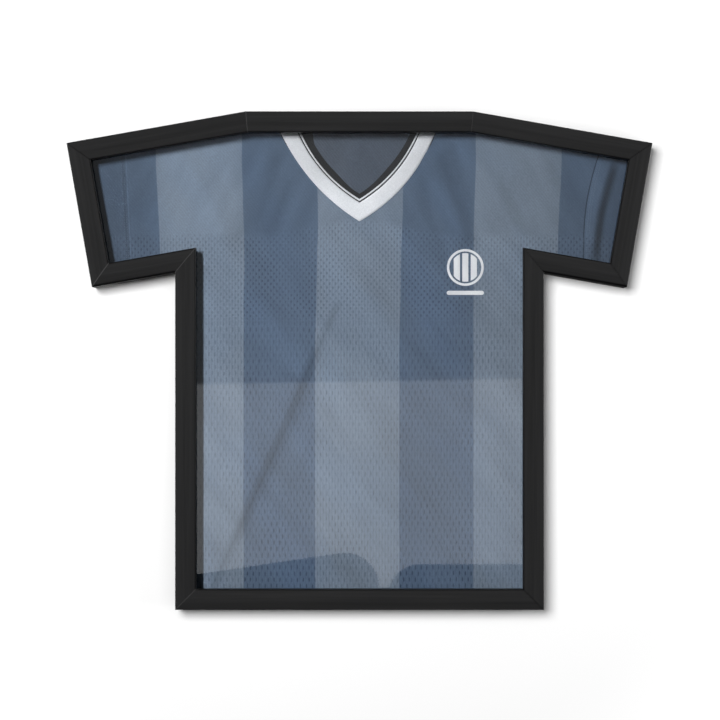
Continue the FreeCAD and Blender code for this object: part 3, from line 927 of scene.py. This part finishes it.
def flat_emitter(name, corners, colour, strength, edge=None):
    """A stage card seen only in the pane. edge is (slope, height, height, dim strength)."""
    g = Graph(name)
    g.tree.nodes.remove(g.shader)
    glow = g.add("Emission")
    glow.inputs["Color"].default_value = (*colour, 1)
    if edge:
        x, _, z = g.split(g.place())
        level = g.math("SUBTRACT", z, g.math("MULTIPLY", x, edge[0]))
        strength = g.range(level, edge[1], edge[2], edge[3], strength, "SMOOTHSTEP")
    g.put(glow.inputs["Strength"], strength)
    g.surface(glow.outputs[0])
    card = stage_face(name, corners, g.material, ("camera", "diffuse", "transmission", "shadow"))
    card.light_linking.receiver_collection = pane_only


def wall():
    """A white wall behind the frame, clear from behind so that the frame's back can be seen. Its colour
    carries painted shade near the frame, by ambient occlusion, and it glows more the farther it is from the
    frame, as painted light.
    """
    g = Graph("wall_paint_with_painted_shade_and_glow")
    away = g.add("VectorMath", operation="DISTANCE")
    g.put(away.inputs[0], g.place())
    away.inputs[1].default_value = (0, 0, -0.32)
    # painted shade: ambient occlusion darkens the wall's colour near the frame
    ao_painted_shade = g.add("AmbientOcclusion", samples=8)
    ao_painted_shade.inputs["Distance"].default_value = 0.03
    wall_tone_with_painted_shade = g.mix(g.range(ao_painted_shade.outputs["AO"], 0.5, 1, 0, 1), (0.76, 0.76, 0.76), (0.9, 0.9, 0.9))
    # painted light: the wall glows more the farther it is from the frame
    g.set(Base_Color=wall_tone_with_painted_shade, Roughness=0.95, Specular_IOR_Level=0.0, Emission_Color=(1, 1, 1, 1),
          Emission_Strength=g.range(away.outputs["Value"], 0.52, 1.2, 0, 0.8, "SMOOTHSTEP"))
    g.blend_surface(g.add("NewGeometry").outputs["Backfacing"], g.shader.outputs[0],
                    g.add("BsdfTransparent").outputs[0])
    corners = [(-4, WALL_Y, -3), (4, WALL_Y, -3), (4, WALL_Y, 3), (-4, WALL_Y, 3)]
    return stage_face("wall", corners, g.material, ("diffuse", "glossy", "transmission", "shadow"))


FACE_DISTANCE = 1.95  # from the camera to the rails' faces
FACE_SPAN = 0.9693  # how much of that plane the picture takes in
EYE = Vector((0.0007, -0.032 - FACE_DISTANCE, -0.3217))
PANE_Y = -0.023
WALL_Y = 0.0006
CARD_Y = -3.5
REACH = 1 + (CARD_Y - PANE_Y) / (EYE.y - PANE_Y)  # how much larger a card is than its reflection in the pane


def card_point(x, z, nearer=0.0):
    """Where a card's point must be for its reflection to show at (x, z) on the pane."""
    return (EYE.x + (x - EYE.x) * REACH, CARD_Y + nearer, EYE.z + (z - EYE.z) * REACH)


def card_level(z, slope):
    """The height on a card, less slope times x, for a height at the middle of the pane."""
    return z * REACH + (1 - REACH) * (EYE.z - slope * EYE.x)


HORIZON = 0.0175  # the slope of the low card's upper edge
DIM = 0.28
flat_emitter("card_low",
             [card_point(x, z) for x, z in ((-0.5, -0.33), (0.5, -0.33), (0.5, -0.9), (-0.5, -0.9))],
             (0.95, 0.97, 1.0), 1.17,
             (HORIZON, card_level(-0.3480, HORIZON), card_level(-0.3536, HORIZON), DIM))
flat_emitter("card_high",
             [card_point(x, z, -0.02) for x, z in ((-0.6, 0.2), (0.6, 0.2), (0.6, -0.5), (-0.6, -0.5))],
             (0.9, 0.95, 1.0), DIM)


def mound(name, x0, x1, z0, z1, round_left, round_right):
    """A dark furniture-like shape in front of the low card, with rounded upper corners."""
    loop = [(x0, -0.95)]
    if round_left:
        loop += [(x0 + round_left * (1 - math.cos(a)), z0 - round_left * (1 - math.sin(a)))
                 for a in steps(0, math.pi / 2, 12)]
    else:
        loop += [(x0, z0)]
    if round_right:
        loop += [(x1 - round_right * (1 - math.sin(a)), z1 - round_right * (1 - math.cos(a)))
                 for a in steps(0, math.pi / 2, 12)]
    else:
        loop += [(x1, z1)]
    loop += [(x1, -0.95)]
    flat_emitter(name, [card_point(x, z, 0.02) for x, z in loop], (1, 1, 1), 0.0)


mound("mound_left", -0.3, 0.0265, -0.6223, -0.5812, 0, 0.047)
mound("mound_right", 0.038, 0.4, -0.5967, -0.597, 0.045, 0)


def area_light(name, at, aim, width, height, power, glossy):
    data = bpy.data.lights.new(name, "AREA")
    data.shape = "RECTANGLE"
    data.size, data.size_y, data.energy = width, height, power
    obj = bpy.data.objects.new(name, data)
    obj.location = at
    obj.rotation_mode = "QUATERNION"
    obj.rotation_quaternion = (Vector(aim) - Vector(at)).to_track_quat("-Z", "Y")
    obj.visible_glossy = glossy
    bpy.context.scene.collection.objects.link(obj)
    return obj


backdrop = wall()
rails = [NODES["rail_" + side] for side in SIDES]
on_wall = group("on_wall", [backdrop], "INCLUDE")
on_rails = group("on_rails", rails, "INCLUDE")
past_both = group("past_wall_and_rails", [backdrop] + rails, "EXCLUDE")
for name, at, aim, width, height, power, reach in (
        ("wall_light", (-0.8, -2.4, 0.3), (0, 0, -0.32), 1.3, 1.2, 85, on_wall),
        ("wall_fill", (1.5, -0.8, -0.55), (0.5, 0, -0.5), 0.5, 0.8, 8, on_wall),
        ("rail_light", (-0.3, -2.7, 0.0), (0, 0, -0.32), 1.0, 1.0, 110, on_rails),
        ("side_left", (-2.2, -0.25, 0.2), (0, 0, -0.3), 0.6, 1.2, 30, on_rails),
        ("side_right", (2.2, -0.25, 0.2), (0, 0, -0.3), 0.6, 1.2, 30, on_rails),
        ("crown", (0.1, -0.2, 2.0), (0, 0, -0.3), 1.2, 0.5, 18, on_rails),
        ("key", (-1.65, -2.64, 0.95), (0, 0, -0.32), 0.35, 1.1, 126, past_both),
        ("low_key", (-1.6, -2.56, -0.55), (0, 0, -0.45), 0.4, 0.6, 0.4, past_both)):
    lamp = area_light(name, at, aim, width, height, power, name in ("side_left", "side_right", "crown"))
    lamp.light_linking.receiver_collection = reach
    if name == "low_key":
        lamp.data.spread = math.radians(26)
area_light("back_left", (0.9, 2.4, 0.8), (0, 0, -0.32), 1.8, 1.8, 115, True)
area_light("back_right", (-1.3, 2.2, -0.2), (0, 0, -0.32), 1.2, 1.2, 45, True)

world = bpy.data.worlds.new("studio")
bpy.context.scene.world = world
world.use_nodes = True
tree = world.node_tree
lit = tree.nodes["Background"]
lit.inputs["Color"].default_value = (1, 1, 1, 1)
lit.inputs["Strength"].default_value = 0.05
seen = tree.nodes.new("ShaderNodeBackground")
seen.inputs["Color"].default_value = (0.93, 0.93, 0.93, 1)
seen.inputs["Strength"].default_value = 1.0
path = tree.nodes.new("ShaderNodeLightPath")
choose = tree.nodes.new("ShaderNodeMixShader")
tree.links.new(path.outputs["Is Camera Ray"], choose.inputs[0])
tree.links.new(lit.outputs[0], choose.inputs[1])
tree.links.new(seen.outputs[0], choose.inputs[2])
tree.links.new(choose.outputs[0], tree.nodes["World Output"].inputs["Surface"])

camera_data = bpy.data.cameras.new("camera")
camera_data.sensor_width = 36
camera_data.lens = camera_data.sensor_width * FACE_DISTANCE / FACE_SPAN
camera = bpy.data.objects.new("camera", camera_data)
camera.location = EYE
camera.rotation_euler = (math.radians(90), 0, 0)
bpy.context.scene.collection.objects.link(camera)
bpy.context.scene.camera = camera
bpy.context.scene.view_settings.view_transform = "Standard"
